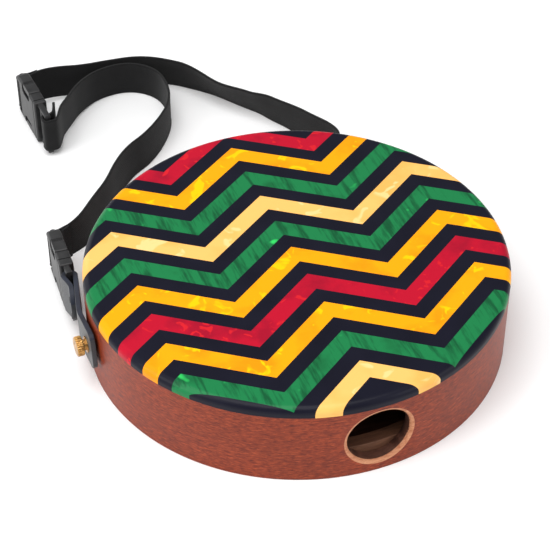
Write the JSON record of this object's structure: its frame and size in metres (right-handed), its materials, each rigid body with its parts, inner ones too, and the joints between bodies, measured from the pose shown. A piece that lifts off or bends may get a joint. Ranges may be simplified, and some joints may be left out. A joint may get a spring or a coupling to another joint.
{
  "type": "frame drum",
  "caption": "Round closed frame drum with a printed wooden head, a bent wooden shell with a sound port, and a webbing carrying strap on swivelling leather tabs with side release buckles.",
  "frame": {"origin": "centre of the outer face of the back, where the drum rests", "axes": "+Z from the back through the head, -Y out of the sound port, -X out through the near thumb screw"},
  "size_m": [0.2726, 0.4082, 0.0558],
  "materials": {
    "shell_wood": "satin reddish brown wood",
    "head_print": "gloss lacquer over a printed pattern",
    "back_wood": "satin plywood",
    "lining_wood": "raw wood",
    "brass": "turned brass",
    "rubber": "matt rubber",
    "leather": "black leather with a smooth face",
    "thread": "waxed thread",
    "webbing": "woven polypropylene",
    "buckle_plastic": "moulded satin plastic"
  },
  "bodies": {
    "drum": {"shell": "shell_wood", "head_plate": "head_print", "back_plate": "back_wood", "lower_lining": "lining_wood", "upper_lining": "lining_wood", "near_insert": "brass", "far_insert": "brass", "near_spacer_washer": "rubber", "far_spacer_washer": "rubber", "middle_buckle_female": "buckle_plastic", "middle_buckle_male": "buckle_plastic", "middle_web_fold": "webbing", "middle_web_tail": "webbing", "webbing_short": "webbing", "webbing_long": "webbing"},
    "near_strap_end": {"near_tab": "leather", "near_stitches": "thread", "near_cap_washer": "brass", "near_buckle_female": "buckle_plastic", "near_buckle_male": "buckle_plastic", "near_web_fold": "webbing"},
    "near_screw": {"near_thumb_screw": "brass"},
    "far_strap_end": {"far_tab": "leather", "far_stitches": "thread", "far_cap_washer": "brass", "far_buckle_female": "buckle_plastic", "far_buckle_male": "buckle_plastic", "far_web_fold": "webbing"},
    "far_screw": {"far_thumb_screw": "brass"},
    "near_prong_upper": {"near_buckle_prong_upper": "buckle_plastic"},
    "near_prong_lower": {"near_buckle_prong_lower": "buckle_plastic"},
    "far_prong_upper": {"far_buckle_prong_upper": "buckle_plastic"},
    "far_prong_lower": {"far_buckle_prong_lower": "buckle_plastic"},
    "middle_prong_upper": {"middle_buckle_prong_upper": "buckle_plastic"},
    "middle_prong_lower": {"middle_buckle_prong_lower": "buckle_plastic"}
  },
  "joints": [
    {"name": "near_tab_swivel", "type": "hinge", "parent": "drum", "child": "near_strap_end", "pos_m": [-0.127, 0, 0.029], "axis": [1, 0, 0], "range_deg": [0, 40]},
    {"name": "near_screw_turn", "type": "hinge", "parent": "drum", "child": "near_screw", "pos_m": [-0.127, 0, 0.029], "axis": [-1, 0, 0], "continuous": true},
    {"name": "far_tab_swivel", "type": "hinge", "parent": "drum", "child": "far_strap_end", "pos_m": [0.12208, 0.03501, 0.029], "axis": [0.9613, 0.2756, 0], "range_deg": [0, 40]},
    {"name": "far_screw_turn", "type": "hinge", "parent": "drum", "child": "far_screw", "pos_m": [0.12208, 0.03501, 0.029], "axis": [0.9613, 0.2756, 0], "continuous": true},
    {"name": "near_prong_upper_squeeze", "type": "hinge", "parent": "near_strap_end", "child": "near_prong_upper", "pos_m": [-0.12473, 0.06809, 0.03399], "axis": [-0.9979, 0.0641, -0.0079], "range_deg": [0, 8], "stiffness_Nm_per_rad": 0.05},
    {"name": "near_prong_lower_squeeze", "type": "hinge", "parent": "near_strap_end", "child": "near_prong_lower", "pos_m": [-0.12473, 0.06486, 0.00769], "axis": [0.9979, -0.0641, 0.0079], "range_deg": [0, 8], "stiffness_Nm_per_rad": 0.05},
    {"name": "far_prong_upper_squeeze", "type": "hinge", "parent": "far_strap_end", "child": "far_prong_upper", "pos_m": [0.09812, 0.09825, 0.03407], "axis": [-0.8097, -0.5853, 0.0417], "range_deg": [0, 8], "stiffness_Nm_per_rad": 0.05},
    {"name": "far_prong_lower_squeeze", "type": "hinge", "parent": "far_strap_end", "child": "far_prong_lower", "pos_m": [0.09901, 0.09514, 0.00777], "axis": [0.8097, 0.5853, -0.0417], "range_deg": [0, 8], "stiffness_Nm_per_rad": 0.05},
    {"name": "middle_prong_upper_squeeze", "type": "hinge", "parent": "drum", "child": "middle_prong_upper", "pos_m": [-0.09444, 0.2385, 0.03035], "axis": [-0.9983, -0.0576, 0], "range_deg": [0, 8], "stiffness_Nm_per_rad": 0.05},
    {"name": "middle_prong_lower_squeeze", "type": "hinge", "parent": "drum", "child": "middle_prong_lower", "pos_m": [-0.09444, 0.2385, 0.00385], "axis": [0.9983, 0.0576, 0], "range_deg": [0, 8], "stiffness_Nm_per_rad": 0.05}
  ],
  "couplings": [
    {"joint": "near_prong_lower_squeeze", "follows": "near_prong_upper_squeeze", "ratio": 1},
    {"joint": "far_prong_lower_squeeze", "follows": "far_prong_upper_squeeze", "ratio": 1},
    {"joint": "middle_prong_lower_squeeze", "follows": "middle_prong_upper_squeeze", "ratio": 1}
  ]
}
